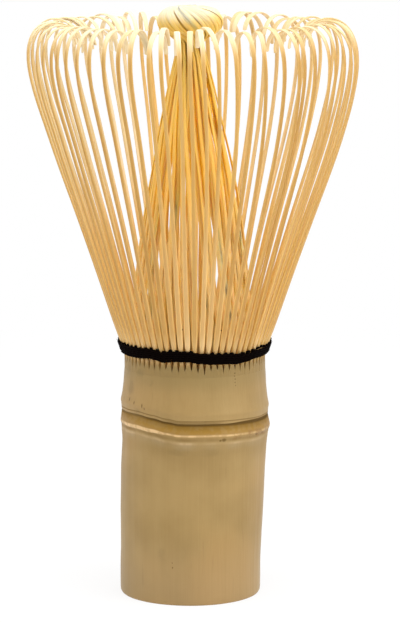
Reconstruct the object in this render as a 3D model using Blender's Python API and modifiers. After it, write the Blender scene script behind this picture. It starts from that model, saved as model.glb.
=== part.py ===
"""A matcha whisk: a bamboo handle, its split tines and the black thread that ties them.

Metres, +Z up. The origin is the centre of the footprint, on the surface that the whisk stands on.
The whisk is made as its maker makes it: the culm's upper end is split into equal segments, each
segment is cut into outer tines, which flare and hook inwards, and inner tines, which close into a
twisted bun, and one thread is laced between the two and wound outside them.
"""

import math

import bmesh
import bpy
from mathutils import Matrix, Vector

MM = 0.001
# Heights this near each other are the same height
ROUNDING = 0.01 * MM

# The culm, from the foot up. Its node is the ridge that a bamboo stem has at each joint.
CULM_RADIUS = 13.55 * MM
FOOT_TAPER = 0.35 * MM
FOOT_CHAMFER = 0.4 * MM
NODE_HEIGHT = 32.1 * MM
NODE_TILT = 0.4 * MM
LIP_PROUD = 0.5 * MM
LIP_ROUNDING = 0.1 * MM
LIP_CREST_HALF_HEIGHT = 0.7 * MM
LIP_HALF_HEIGHT = 1.9 * MM
GROOVE_ABOVE_LIP = 2.4 * MM
GROOVE_HALF_HEIGHT = 0.6 * MM
GROOVE_PROUD = 0.05 * MM
SHOULDER_ABOVE_GROOVE = 1.5 * MM
SHOULDER_PROUD = 0.35 * MM
COLLAR_HEIGHT = 6.7 * MM
COLLAR_TAPER = 0.35 * MM
COLLAR_STEPS = 4
HANDLE_WALL = 3.6 * MM
FOOT_LEAN = 0.9 * MM
CULM_STEPS = 48

# The diaphragm that closes the stem at its node, and the ledge it rests on
DIAPHRAGM_THICKNESS = 1.6 * MM
DIAPHRAGM_DISH = 0.5 * MM
LEDGE_WIDTH = 0.7 * MM

# Segments that the culm's wall is split into, and the tines cut from each
SEGMENTS = 17
TINES_PER_SEGMENT = 4
SEGMENT_HEIGHT = 1.2 * MM
SLICE_STEPS = 2
SEAT_GAP = 0.3 * MM
SPLIT_GAP = 0.2 * MM
ROOT_SINK = 0.6 * MM
ROOT_INSET = 0.15 * MM

# An outer tine: straight flare, wide shoulder, crest and tight hook, in that order
KNEE_HEIGHT = 1.1 * MM
FLARE_ANGLE = math.radians(19.2)
FLARE_LENGTH = 45.5 * MM
SHOULDER_BEND_RADIUS = 39.0 * MM
CREST_RADIUS = 10.0 * MM
CREST_TURN = math.radians(20.0)
HOOK_RADIUS = 4.4 * MM
HOOK_TURN = math.radians(132.0)
HOOK_STEPS = 3
OUTER_ROOT_SLIT = 0.2 * MM
OUTER_FLARE_WIDTH = 0.8 * MM
OUTER_CREST_WIDTH = 0.75 * MM
OUTER_TIP_WIDTH = 0.5 * MM
OUTER_ROOT_THICKNESS = 0.6 * MM
OUTER_CREST_THICKNESS = 0.4 * MM
OUTER_TIP_THICKNESS = 0.25 * MM

# An inner tine: upright past the thread, a bell closing to the neck, then the bun's flare and curl
INNER_UPRIGHT = 3.2 * MM
BELL_HEIGHT = 55.7 * MM
BELL_FULLNESS = 1.7
BELL_SHARES = (0.6, 1.0)
BELL_LEAN = math.radians(5.0)
NECK_RADIUS = 2.7 * MM
LAYER_STEP = 0.55 * MM
FLARE_BEND_RADIUS = 2.2 * MM
FLARE_TURN = math.radians(80.0)
CURL_RADIUS = 2.2 * MM
CURL_TURN = math.radians(130.0)
CURL_STEPS = 2
DOME_RADIUS = 4.0 * MM
DOME_TURN = math.radians(50.0)
BUN_LEAN = math.radians(38.0)
BUN_OFFSET = 1.1 * MM
INNER_ROOT_WIDTH = 0.6 * MM
INNER_NECK_WIDTH = 0.34 * MM
INNER_RIM_WIDTH = 0.62 * MM
INNER_TIP_WIDTH = 0.24 * MM
INNER_ROOT_THICKNESS = 0.5 * MM
INNER_NECK_THICKNESS = 0.28 * MM
INNER_TIP_THICKNESS = 0.24 * MM
# Each tine of a segment goes to one layer of the bun, 0 being the outermost
LAYER_OF_TINE = (0, 1, 0, 2)

# The thread: one turn laced between the outer and inner tines, then the outside turns
THREAD_DIAMETER = 0.4 * MM
THREAD_TURNS = 3
TURN_GAP = 0.44 * MM
THREAD_SEAT = 0.06 * MM
THREAD_ABOVE_KNEE = 0.2 * MM
LOOP_POINTS = 24
KNOT_LENGTH = 1.1 * MM
KNOT_THICKNESS = 0.52 * MM
KNOT_GAP = 0.1 * MM
# The slits that the thread leaves and re-enters by, counted in tines back from the knot
OUT_SLIT = 4.5
IN_SLIT = 2.5

# Places that follow from the sizes above
FOOT_RADIUS = CULM_RADIUS - FOOT_TAPER
COLLAR_RADIUS = CULM_RADIUS - COLLAR_TAPER
BORE_RADIUS = FOOT_RADIUS - HANDLE_WALL
UPPER_BORE_RADIUS = BORE_RADIUS + LEDGE_WIDTH
GROOVE_Z = NODE_HEIGHT + GROOVE_ABOVE_LIP
SHOULDER_Z = GROOVE_Z + SHOULDER_ABOVE_GROOVE
CULM_TOP = SHOULDER_Z + COLLAR_HEIGHT
LEDGE_Z = NODE_HEIGHT - DIAPHRAGM_THICKNESS / 2
SEGMENT_Z = CULM_TOP + SEAT_GAP
SLIT_Z = SEGMENT_Z + SEGMENT_HEIGHT
KNEE_Z = SLIT_Z + KNEE_HEIGHT
# The split between the outer and inner tines halves the wall
SPLIT_RADIUS = (COLLAR_RADIUS + UPPER_BORE_RADIUS) / 2
OUTER_SLICE_INSIDE = SPLIT_RADIUS + SEAT_GAP / 2
INNER_SLICE_OUTSIDE = SPLIT_RADIUS - SEAT_GAP / 2
TINES = SEGMENTS * TINES_PER_SEGMENT
TINE_ANGLE = 2 * math.pi / TINES
SEGMENT_ANGLE = 2 * math.pi / SEGMENTS
# The slit between two outer tines is wide enough for the thread to pass through
TINE_PITCH = 2 * COLLAR_RADIUS * math.sin(TINE_ANGLE / 2)
OUTER_ROOT_WIDTH = TINE_PITCH - OUTER_ROOT_SLIT
OUTER_KNEE_WIDTH = TINE_PITCH - THREAD_DIAMETER - 2 * THREAD_SEAT
INNER_TINE_RADIUS = INNER_SLICE_OUTSIDE - ROOT_INSET - INNER_ROOT_THICKNESS / 2
BELL_Z = SLIT_Z + INNER_UPRIGHT
NECK_Z = BELL_Z + BELL_HEIGHT
TURN_PITCH = THREAD_DIAMETER + TURN_GAP


def clear_scene():
    for obj in list(bpy.data.objects):
        bpy.data.objects.remove(obj)


def new_collection(name):
    collection = bpy.data.collections.new(name)
    bpy.context.scene.collection.children.link(collection)
    return collection


def make_material(name, colour, roughness):
    material = bpy.data.materials.new(name)
    material.use_nodes = True
    shader = material.node_tree.nodes["Principled BSDF"]
    shader.inputs["Base Color"].default_value = (*colour, 1.0)
    shader.inputs["Roughness"].default_value = roughness
    shader.inputs["Metallic"].default_value = 0.0
    return material


def add_object(name, data, collection, material=None):
    obj = bpy.data.objects.new(name, data)
    collection.objects.link(obj)
    if material is not None and not data.materials:
        data.materials.append(material)
    return obj


def evaluated_mesh(obj):
    """The object's mesh with its modifiers applied."""
    bpy.context.view_layer.update()
    graph = bpy.context.evaluated_depsgraph_get()
    return bpy.data.meshes.new_from_object(obj.evaluated_get(graph))


def outline_mesh(name, points, closed):
    """A profile in the XZ plane, as edges only, for a Screw modifier to turn."""
    count = len(points)
    edges = [(i, (i + 1) % count) for i in range(count if closed else count - 1)]
    mesh = bpy.data.meshes.new(name)
    mesh.from_pydata([(r, 0.0, z) for r, z in points], edges, [])
    return mesh


def turned(name, points, collection, closed=True):
    """A turned shape. The profile runs down its outer side."""
    obj = add_object(name, outline_mesh(name, points, closed), collection)
    screw = obj.modifiers.new("turn", "SCREW")
    screw.steps = screw.render_steps = CULM_STEPS
    screw.use_merge_vertices = True
    screw.merge_threshold = ROUNDING
    screw.use_smooth_shade = True
    mesh = evaluated_mesh(obj)
    bpy.data.objects.remove(obj)
    mesh.name = name
    return mesh


def collar_profile(shoulder_radius):
    """The collar's concave outside: half a cosine wave from its end down to the shoulder."""
    points = []
    for step in range(COLLAR_STEPS + 1):
        share = step / COLLAR_STEPS
        swell = (1 - math.cos(math.pi * share)) / 2
        radius = COLLAR_RADIUS + swell * (shoulder_radius - COLLAR_RADIUS)
        points.append((radius, CULM_TOP - share * COLLAR_HEIGHT))
    return points


def culm_profile():
    """The culm's wall in section: down the outside, across the foot, and up the bore."""
    lip_radius = CULM_RADIUS + LIP_PROUD
    lip_side = lip_radius - LIP_ROUNDING
    groove_radius = CULM_RADIUS + GROOVE_PROUD
    return collar_profile(CULM_RADIUS + SHOULDER_PROUD) + [
        (groove_radius, GROOVE_Z + GROOVE_HALF_HEIGHT),
        (groove_radius, GROOVE_Z - GROOVE_HALF_HEIGHT),
        (lip_side, NODE_HEIGHT + LIP_CREST_HALF_HEIGHT),
        (lip_radius, NODE_HEIGHT),
        (lip_side, NODE_HEIGHT - LIP_CREST_HALF_HEIGHT),
        (CULM_RADIUS, NODE_HEIGHT - LIP_HALF_HEIGHT),
        (FOOT_RADIUS, FOOT_CHAMFER),
        (FOOT_RADIUS - FOOT_CHAMFER, 0.0),
        (BORE_RADIUS, 0.0),
        (BORE_RADIUS, LEDGE_Z),
        (UPPER_BORE_RADIUS, LEDGE_Z),
        (UPPER_BORE_RADIUS, CULM_TOP),
    ]


def tilt_node(mesh):
    """The node's ridge and groove grew aslant: higher at -X than at +X, on the skin alone."""
    skin = (UPPER_BORE_RADIUS + COLLAR_RADIUS) / 2
    low = NODE_HEIGHT - LIP_HALF_HEIGHT
    for vertex in mesh.vertices:
        radius = math.hypot(vertex.co.x, vertex.co.y)
        if radius > skin and low - ROUNDING < vertex.co.z < SHOULDER_Z + ROUNDING:
            vertex.co.z -= NODE_TILT * vertex.co.x / radius


def lean_foot(mesh):
    """The stem grew with a slight lean: below its node it drifts towards -X, most at the foot."""
    for vertex in mesh.vertices:
        below = max(0.0, 1.0 - vertex.co.z / NODE_HEIGHT)
        vertex.co.x -= FOOT_LEAN * below


def make_handle(collection, material):
    mesh = turned("handle_culm", culm_profile(), collection)
    tilt_node(mesh)
    lean_foot(mesh)
    obj = add_object("handle_culm", mesh, collection, material)
    mesh.set_sharp_from_angle(angle=math.radians(35))
    return obj


def make_diaphragm(collection, material):
    """A dished disc on the ledge where the bore steps out, a seat gap above it and inside it."""
    radius = UPPER_BORE_RADIUS - SEAT_GAP / 2
    under = LEDGE_Z + SEAT_GAP / 2
    top = under + DIAPHRAGM_THICKNESS
    points = [
        (0.0, top - DIAPHRAGM_DISH),
        (radius / 2, top - 0.8 * DIAPHRAGM_DISH),
        (radius, top),
        (radius, under),
        (radius / 2, under - 0.8 * DIAPHRAGM_DISH),
        (0.0, under - DIAPHRAGM_DISH),
    ]
    mesh = turned("node_diaphragm", points, collection, closed=False)
    return add_object("node_diaphragm", mesh, collection, material)


def loft(bm, sections):
    """A closed solid through a list of sections, each the same number of corners in order."""
    rings = [[bm.verts.new(corner) for corner in section] for section in sections]
    count = len(rings[0])
    for lower, upper in zip(rings, rings[1:]):
        for i in range(count):
            j = (i + 1) % count
            bm.faces.new((lower[i], lower[j], upper[j], upper[i]))
    bm.faces.new(list(reversed(rings[0])))
    bm.faces.new(rings[-1])


def mesh_of(name, lofts):
    """One mesh that holds each loft as a closed body, with its faces pointing out."""
    bm = bmesh.new()
    for sections in lofts:
        loft(bm, sections)
    bmesh.ops.recalc_face_normals(bm, faces=bm.faces)
    mesh = bpy.data.meshes.new(name)
    bm.to_mesh(mesh)
    bm.free()
    return mesh


def polar(radius, angle, height):
    return Vector((radius * math.cos(angle), radius * math.sin(angle), height))


def segment_slice(inside, outside):
    """Sections of one segment of the split wall, centred on angle 0."""
    half = SEGMENT_ANGLE / 2 - SPLIT_GAP / 2 / outside
    top = SEGMENT_Z + SEGMENT_HEIGHT
    sections = []
    for step in range(SLICE_STEPS + 1):
        angle = half * (2 * step / SLICE_STEPS - 1)
        sections.append(
            [
                polar(inside, angle, SEGMENT_Z),
                polar(outside, angle, SEGMENT_Z),
                polar(outside, angle, top),
                polar(inside, angle, top),
            ]
        )
    return sections


def arc(radius, height, heading, bend_radius, turn, steps):
    """Points (radius, height, heading) after the first along an arc in a plane through the axis.

    Heading 0 is straight up and a positive heading leans outwards. turn is negative to bend inwards.
    """
    side = math.copysign(bend_radius, turn)
    points = []
    for step in range(1, steps + 1):
        now = heading + turn * step / steps
        points.append(
            (
                radius + side * (math.cos(heading) - math.cos(now)),
                height + side * (math.sin(now) - math.sin(heading)),
                now,
            )
        )
    return points


def outer_tine_line():
    """The outer face of an outer tine: points (radius, height, heading, width, thickness)."""
    line = [(COLLAR_RADIUS - ROOT_INSET, SLIT_Z - ROOT_SINK, 0.0)]
    line.append((COLLAR_RADIUS, KNEE_Z, FLARE_ANGLE / 2))
    line.append(
        (
            COLLAR_RADIUS + FLARE_LENGTH * math.sin(FLARE_ANGLE),
            KNEE_Z + FLARE_LENGTH * math.cos(FLARE_ANGLE),
            FLARE_ANGLE,
        )
    )
    line += arc(*line[-1], SHOULDER_BEND_RADIUS, -FLARE_ANGLE, 1)
    line += arc(*line[-1], CREST_RADIUS, -CREST_TURN, 1)
    crest = len(line) - 1
    line += arc(*line[-1], HOOK_RADIUS, -HOOK_TURN, HOOK_STEPS)
    widths = [OUTER_ROOT_WIDTH, OUTER_KNEE_WIDTH, OUTER_FLARE_WIDTH]
    thicknesses = [OUTER_ROOT_THICKNESS, OUTER_ROOT_THICKNESS, OUTER_CREST_THICKNESS]
    for place in range(3, len(line)):
        along = max(0.0, (place - crest) / HOOK_STEPS)
        widths.append(OUTER_CREST_WIDTH + (OUTER_TIP_WIDTH - OUTER_CREST_WIDTH) * along)
        thinner = (OUTER_TIP_THICKNESS - OUTER_CREST_THICKNESS) * along
        thicknesses.append(OUTER_CREST_THICKNESS + thinner)
    return [(*point, w, t) for point, w, t in zip(line, widths, thicknesses)]


def outer_tine_sections(angle):
    """Three-cornered sections of one outer tine: the skin's flat face outside, an edge inside."""
    out = Vector((math.cos(angle), math.sin(angle), 0.0))
    side = Vector((-math.sin(angle), math.cos(angle), 0.0))
    up = Vector((0.0, 0.0, 1.0))
    sections = []
    for radius, height, heading, width, thickness in outer_tine_line():
        face = out * radius + up * height
        inwards = -out * math.cos(heading) + up * math.sin(heading)
        half = side * (width / 2)
        sections.append([face - half, face + half, face + inwards * thickness])
    return sections


def inner_tine_line(layer):
    """The middle of an inner tine: (radius, angle, height, heading, lean, width, thickness)."""
    neck = NECK_RADIUS - layer * LAYER_STEP
    points = [
        (INNER_TINE_RADIUS, SLIT_Z - ROOT_SINK, 0.0, 0.0, INNER_ROOT_WIDTH, INNER_ROOT_THICKNESS),
        (INNER_TINE_RADIUS, BELL_Z, 0.0, 0.0, INNER_ROOT_WIDTH, INNER_ROOT_THICKNESS),
    ]
    for share in BELL_SHARES:
        radius = neck + (INNER_TINE_RADIUS - neck) * (1 - share**BELL_FULLNESS)
        slope = -BELL_FULLNESS * share ** (BELL_FULLNESS - 1)
        heading = math.atan(slope * (INNER_TINE_RADIUS - neck) / BELL_HEIGHT)
        width = INNER_ROOT_WIDTH + (INNER_NECK_WIDTH - INNER_ROOT_WIDTH) * share
        thickness = INNER_ROOT_THICKNESS + (INNER_NECK_THICKNESS - INNER_ROOT_THICKNESS) * share
        if share == 1.0:
            heading = 0.0
        points.append((radius, BELL_Z + BELL_HEIGHT * share, heading, BELL_LEAN, width, thickness))
    inset = layer * LAYER_STEP
    flare = arc(neck, NECK_Z, 0.0, FLARE_BEND_RADIUS + inset, FLARE_TURN, 1)
    points.append((*flare[-1], BUN_LEAN, INNER_NECK_WIDTH, INNER_NECK_THICKNESS))
    curl = arc(*flare[-1], CURL_RADIUS - inset, -CURL_TURN, CURL_STEPS)
    curl += arc(*curl[-1], DOME_RADIUS - inset, -DOME_TURN, 1)
    for place, point in enumerate(curl, 1):
        past_rim = max(0.0, 2 * place / len(curl) - 1)
        width = INNER_RIM_WIDTH + (INNER_TIP_WIDTH - INNER_RIM_WIDTH) * past_rim
        thinner = (INNER_TIP_THICKNESS - INNER_NECK_THICKNESS) * past_rim
        points.append((*point, BUN_LEAN, width, INNER_NECK_THICKNESS + thinner))
    return twisted(points)


def twisted(points):
    """Adds each point's angle about the axis: a strand that leans drifts round it as it runs."""
    angle = 0.0
    line = []
    for place, (radius, height, heading, lean, width, thickness) in enumerate(points):
        if place:
            before = points[place - 1]
            run = math.hypot(radius - before[0], height - before[1])
            angle -= run * math.tan(lean) / ((radius + before[0]) / 2)
        line.append((radius, angle, height, heading, lean, width, thickness))
    return line


def inner_tine_sections(start_angle, layer):
    """Three-cornered sections of one inner tine: a flat back outside and an edge inside."""
    sections = []
    for radius, angle, height, heading, lean, width, thickness in inner_tine_line(layer):
        at = start_angle + angle
        out = Vector((math.cos(at), math.sin(at), 0.0))
        side = Vector((-math.sin(at), math.cos(at), 0.0))
        up = Vector((0.0, 0.0, 1.0))
        along = out * math.sin(heading) + up * math.cos(heading)
        face = out * math.cos(heading) - up * math.sin(heading)
        across = side * math.cos(lean) + along * math.sin(lean)
        middle = polar(radius, at, height)
        outside = middle + face * (thickness / 2)
        inside = middle - face * (thickness / 2)
        half = across * (width / 2)
        sections.append([outside - half, outside + half, inside])
    return sections


def segment_mesh(name, slice_sections, tines, helpers):
    """A slice of the wall joined with the tines that rise from it."""
    base = add_object(name, mesh_of(name, [slice_sections]), helpers)
    cutter = add_object(name + "_tines", mesh_of(name + "_tines", tines), helpers)
    join = base.modifiers.new("join tines", "BOOLEAN")
    join.operation = "UNION"
    join.object = cutter
    mesh = evaluated_mesh(base)
    mesh.name = name
    for helper in (base, cutter):
        bpy.data.objects.remove(helper)
    return mesh


def make_segments(kind, slice_sections, tines, lean, collection, helpers, material):
    """One node for each segment: the same mesh turned about the whisk's axis, then leaned."""
    pattern = segment_mesh(kind, slice_sections, tines, helpers)
    for segment in range(SEGMENTS):
        mesh = pattern.copy()
        mesh.transform(Matrix.Rotation(segment_middle(segment), 4, "Z"))
        lean(mesh)
        add_object(f"{kind}_{segment + 1:02d}", mesh, collection, material)


def stay_upright(mesh):
    """The ring of outer tines has no lean."""


def lean_bun(mesh):
    """The bundle of inner tines bends slowly towards -X, so its bun sits a little off the axis."""
    for vertex in mesh.vertices:
        share = max(0.0, (vertex.co.z - BELL_Z) / (NECK_Z - BELL_Z))
        vertex.co.x -= BUN_OFFSET * min(1.0, share) ** BELL_FULLNESS


def segment_middle(segment):
    """The angle of a segment's middle. One outer tine then faces each of +X, -X, +Y and -Y."""
    return segment * SEGMENT_ANGLE + TINE_ANGLE * (TINES_PER_SEGMENT - 1) / 2


def tine_offsets():
    """The angle of each of a segment's tines from the segment's middle."""
    return [TINE_ANGLE * (i - (TINES_PER_SEGMENT - 1) / 2) for i in range(TINES_PER_SEGMENT)]


def make_outer_tines(collection, helpers, material):
    tines = [outer_tine_sections(angle) for angle in tine_offsets()]
    wall = segment_slice(OUTER_SLICE_INSIDE, COLLAR_RADIUS)
    make_segments("outer_tines", wall, tines, stay_upright, collection, helpers, material)


def make_inner_tines(collection, helpers, material):
    tines = [
        inner_tine_sections(angle, LAYER_OF_TINE[place % len(LAYER_OF_TINE)])
        for place, angle in enumerate(tine_offsets())
    ]
    wall = segment_slice(UPPER_BORE_RADIUS, INNER_SLICE_OUTSIDE)
    make_segments("inner_tines", wall, tines, lean_bun, collection, helpers, material)


def outside_turn_radius(height):
    """Where a turn's middle lies on the flare at this height, its chords clear of the tines."""
    surface = COLLAR_RADIUS + max(0.0, height - KNEE_Z) * math.tan(FLARE_ANGLE)
    seated = surface + THREAD_SEAT + THREAD_DIAMETER / 2
    return seated / math.cos(math.pi / LOOP_POINTS)


def knot_place():
    """Radius, angle and height of the knot: behind the tine at +Y, between the two rings."""
    outer_back = COLLAR_RADIUS - OUTER_ROOT_THICKNESS
    inner_face = INNER_TINE_RADIUS + INNER_ROOT_THICKNESS / 2
    height = KNEE_Z + THREAD_ABOVE_KNEE + THREAD_TURNS * TURN_PITCH / 2
    return (outer_back + inner_face) / 2, math.pi / 2, height


def thread_route():
    """The thread's points: the laced turn, out through a slit, the outside turns, and back in."""
    lace_radius, knot_angle, knot_height = knot_place()
    lace_radius /= math.cos(math.pi / LOOP_POINTS)
    reach = (KNOT_LENGTH / 2 + KNOT_GAP) / lace_radius
    straight = THREAD_DIAMETER / lace_radius
    start = knot_angle + reach
    out_angle = knot_angle - OUT_SLIT * TINE_ANGLE + 2 * math.pi
    in_angle = knot_angle - IN_SLIT * TINE_ANGLE + 2 * math.pi * (THREAD_TURNS + 1)
    end = knot_angle - reach + 2 * math.pi * (THREAD_TURNS + 1)
    points = [polar(lace_radius, start, knot_height)]
    points += around(start + straight, out_angle, knot_height, knot_height, lambda z: lace_radius)
    first_height = KNEE_Z + THREAD_ABOVE_KNEE + THREAD_DIAMETER / 2
    last_height = first_height + (in_angle - out_angle) / (2 * math.pi) * TURN_PITCH
    points += around(out_angle, in_angle, first_height, last_height, outside_turn_radius)
    points.append(polar(lace_radius, in_angle, last_height))
    points.append(polar(lace_radius, end - straight, knot_height))
    points.append(polar(lace_radius, end, knot_height))
    return points


def around(start, end, low, high, radius_at):
    """Points from one angle to another about the axis, rising evenly, LOOP_POINTS to a turn."""
    steps = round(LOOP_POINTS * (end - start) / (2 * math.pi))
    points = []
    for step in range(steps + 1):
        share = step / steps
        height = low + share * (high - low)
        points.append(polar(radius_at(height), start + share * (end - start), height))
    return points


def least_gap(points, diameter):
    """The least space between parts of the thread that are over four diameters apart along it."""
    fine = []
    for a, b in zip(points, points[1:]):
        parts = max(1, round((b - a).length / diameter))
        fine += [a.lerp(b, i / parts) for i in range(parts)]
    run = [0.0]
    for a, b in zip(fine, fine[1:]):
        run.append(run[-1] + (b - a).length)
    nearest = math.inf
    for i, a in enumerate(fine):
        for j in range(i + 1, len(fine)):
            if run[j] - run[i] > 4 * diameter:
                nearest = min(nearest, (fine[j] - a).length)
    return nearest - diameter


def make_thread(collection, material):
    points = thread_route()
    curve = bpy.data.curves.new("binding_thread", "CURVE")
    curve.dimensions = "3D"
    curve.bevel_depth = THREAD_DIAMETER / 2
    curve.bevel_resolution = 1
    curve.use_fill_caps = True
    spline = curve.splines.new("POLY")
    spline.points.add(len(points) - 1)
    for target, point in zip(spline.points, points):
        target.co = (*point, 1.0)
    add_object("binding_thread", curve, collection, material)
    gap = least_gap(points, THREAD_DIAMETER)
    print(f"binding thread: least gap to itself {gap / MM:.2f} mm, which is to be over 0.40 mm")


def make_knot(collection, material):
    """The knot that closes the thread, a small bead that lies along the laced turn."""
    radius, angle, height = knot_place()
    bm = bmesh.new()
    bmesh.ops.create_uvsphere(bm, u_segments=12, v_segments=8, radius=0.5)
    size = (KNOT_LENGTH, KNOT_THICKNESS, KNOT_LENGTH)
    bmesh.ops.scale(bm, vec=size, verts=bm.verts)
    mesh = bpy.data.meshes.new("thread_knot")
    bm.to_mesh(mesh)
    bm.free()
    mesh.shade_smooth()
    obj = add_object("thread_knot", mesh, collection, material)
    obj.location = polar(radius, angle, height)
    obj.rotation_euler = (0.0, 0.0, angle - math.pi / 2)


def main():
    clear_scene()
    whisk = new_collection("matcha_whisk")
    helpers = new_collection("helpers")
    skin = make_material("bamboo_skin", (0.46, 0.34, 0.15), 0.42)
    pith = make_material("bamboo_pith", (0.62, 0.48, 0.27), 0.75)
    tine = make_material("bamboo_tine", (0.78, 0.53, 0.22), 0.5)
    thread = make_material("black_thread", (0.01, 0.01, 0.012), 0.85)
    make_handle(whisk, skin)
    make_diaphragm(whisk, pith)
    make_outer_tines(whisk, helpers, tine)
    make_inner_tines(whisk, helpers, tine)
    make_thread(whisk, thread)
    make_knot(whisk, thread)
    bpy.data.collections.remove(helpers)


main()
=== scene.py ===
"""Looks of the matcha whisk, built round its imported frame.

Every visible surface is worked out with numpy in the frame of the CAD, +Z up: the culm is a grid of
angle and height, each tine a section carried along its line, and the thread a twisted tube. Lengths
are in millimetres, and are multiplied by MM where they become points or reach a shader.
"""

import math

import bpy
import numpy as np
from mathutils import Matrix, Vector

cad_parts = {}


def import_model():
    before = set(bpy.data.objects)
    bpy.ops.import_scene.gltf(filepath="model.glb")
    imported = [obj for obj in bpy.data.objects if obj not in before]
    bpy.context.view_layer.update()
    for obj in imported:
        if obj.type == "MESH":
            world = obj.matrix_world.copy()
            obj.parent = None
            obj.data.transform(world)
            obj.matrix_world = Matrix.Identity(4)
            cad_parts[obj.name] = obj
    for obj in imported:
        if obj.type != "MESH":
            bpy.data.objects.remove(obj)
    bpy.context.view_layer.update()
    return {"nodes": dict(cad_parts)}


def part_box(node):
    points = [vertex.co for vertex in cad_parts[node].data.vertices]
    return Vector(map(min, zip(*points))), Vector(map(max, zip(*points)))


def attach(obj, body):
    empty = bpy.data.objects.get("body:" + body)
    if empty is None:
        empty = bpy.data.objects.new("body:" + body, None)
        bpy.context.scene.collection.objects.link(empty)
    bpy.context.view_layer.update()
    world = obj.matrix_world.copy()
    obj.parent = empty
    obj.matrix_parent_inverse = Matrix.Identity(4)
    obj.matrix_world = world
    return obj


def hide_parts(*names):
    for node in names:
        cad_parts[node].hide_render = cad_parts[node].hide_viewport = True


MM = 0.001
TURN = 2.0 * np.pi
SEGMENTS = 17
TINES_PER_SEGMENT = 4
TINES = SEGMENTS * TINES_PER_SEGMENT
TINE_ANGLE = TURN / TINES

# Skin of the culm: (height, radius), with the node's lines at their level height
CULM_SKIN = (
    (0, 12.98), (0.25, 13.14), (0.7, 13.2), (8, 13.22), (12, 13.35), (16, 13.47),
    (21, 13.5), (24, 13.55), (28.4, 13.57), (29.4, 13.63), (30.2, 13.72), (30.9, 13.8),
    (31.4, 13.87), (31.75, 13.98), (31.95, 14.07), (32.15, 14.1), (32.4, 14.06), (33, 13.93),
    (33.6, 13.8), (33.9, 13.76), (34, 13.72), (34.1, 13.63), (34.24, 13.6), (34.34, 13.67),
    (34.44, 13.72), (34.74, 13.74), (34.82, 13.71), (34.9, 13.7), (34.98, 13.75), (35.5, 13.79),
    (36, 13.87), (36.4, 13.82), (36.8, 13.72), (37.5, 13.59), (38.5, 13.47), (40, 13.32),
    (41.4, 13.24), (42.1, 13.19), (42.85, 13.12), (43.6, 13.12),
)
# How far the node's lines rise above their level height, by degrees to the left of the front
NODE_RISE = (
    (-90, -0.3), (-60, -0.3), (-35, -0.12), (-12, 0), (12, 0), (22, 0.28),
    (34, 0.72), (50, 1), (68, 0.85), (90, 0.6), (150, 0.5), (210, 0.1), (270, -0.3),
)
# The stem's lean and the sways of the outer tines and the inner bundle: (height, centre in x)
STEM_LEAN = (
    (0, -0.86), (5, -0.84), (10, -0.7), (15, -0.6), (20, -0.43), (24, -0.33),
    (29, -0.06), (32, 0),
)
BRUSH_SWAY = ((45, 0), (84, 0.2), (108, -0.5))
BUNDLE_SWAY = (
    (47.4, 0), (62, -0.4), (78, -0.5), (89, -0.78), (101, -0.74), (106.5, -0.88),
    (112, -0.88),
)
CULM_COLUMNS = 288
# Rows of the culm's skin: those of its foot, then (from, to, step), closest at the node's lines
FOOT_ROWS = (0, 0.12, 0.3, 0.7, 1.4)
CULM_ROWS = (
    (2.4, 28, 0.8), (28.2, 31, 0.2), (31.05, 32.6, 0.08), (32.7, 33.9, 0.15),
    (33.95, 35.1, 0.04), (35.2, 37.4, 0.15), (37.7, 42.85, 0.42),
)
ROOT_Z = 42.85
ROOT_RADIUS = 13.12
BORE_RADIUS = 9.6
UPPER_BORE_RADIUS = 10.3
LEDGE_Z = 31.3
# The culm's wall from the root down its bore and across the sawn foot: (radius, height)
CULM_WALL = (
    (11.7, ROOT_Z), (UPPER_BORE_RADIUS, ROOT_Z), (UPPER_BORE_RADIUS, LEDGE_Z),
    (BORE_RADIUS, LEDGE_Z), (BORE_RADIUS, 0.35), (BORE_RADIUS + 0.15, 0), (11.3, 0),
)

# Dark spots of the culm's skin: degrees to the left of the front, height, radius, stretch, strength
SKIN_SPOTS = (
    (-22.9, 31.3, 0.62, 0.75, 1), (-20, 31.2, 0.34, 0.8, 1), (-54.9, 31.5, 0.5, 0.6, 1),
    (-63.4, 31.45, 0.4, 0.7, 1), (62, 37.75, 0.26, 2.4, 1), (54.5, 37.35, 0.24, 2, 1),
    (45, 37.1, 0.22, 2.8, 1), (42.5, 36.6, 0.18, 2, 1), (14.6, 7.2, 0.16, 1.5, 1),
    (15, 8.1, 0.12, 1.5, 1), (-34.3, 43.4, 0.27, 0.7, 1), (-34, 42.85, 0.25, 0.7, 1),
    (-34.5, 42.3, 0.24, 0.7, 1), (-34.2, 41.7, 0.2, 0.8, 1), (-34.6, 41.1, 0.16, 0.8, 1),
    (120, 36.9, 0.3, 1.8, 1), (164, 31.6, 0.34, 0.8, 1), (-118, 31.5, 0.3, 0.8, 1),
    (-150, 38.6, 0.26, 2.2, 1), (100, 20, 0.16, 1.6, 1), (-140, 12, 0.18, 1.6, 1),
)
# Faint smudges of the culm's skin, given in the same way
SKIN_SMUDGES = (
    (66, 42.6, 2.3, 0.8, 1), (50, 43.2, 1.9, 0.6, 1), (63, 40.2, 2, 1.2, 1),
    (40, 41.6, 1.5, 0.7, 1), (-12, 29, 3.4, 0.35, 0.5), (12, 29.1, 3, 0.35, 0.5),
    (24, 9.5, 1.3, 1.4, 0.4), (6, 10, 1.1, 1.5, 0.4), (52, 35.9, 1.6, 0.5, 1),
    (150, 40.5, 2.4, 0.8, 0.8), (-120, 28.6, 3.2, 0.4, 0.5), (170, 14, 3, 1.4, 0.5),
)

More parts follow.
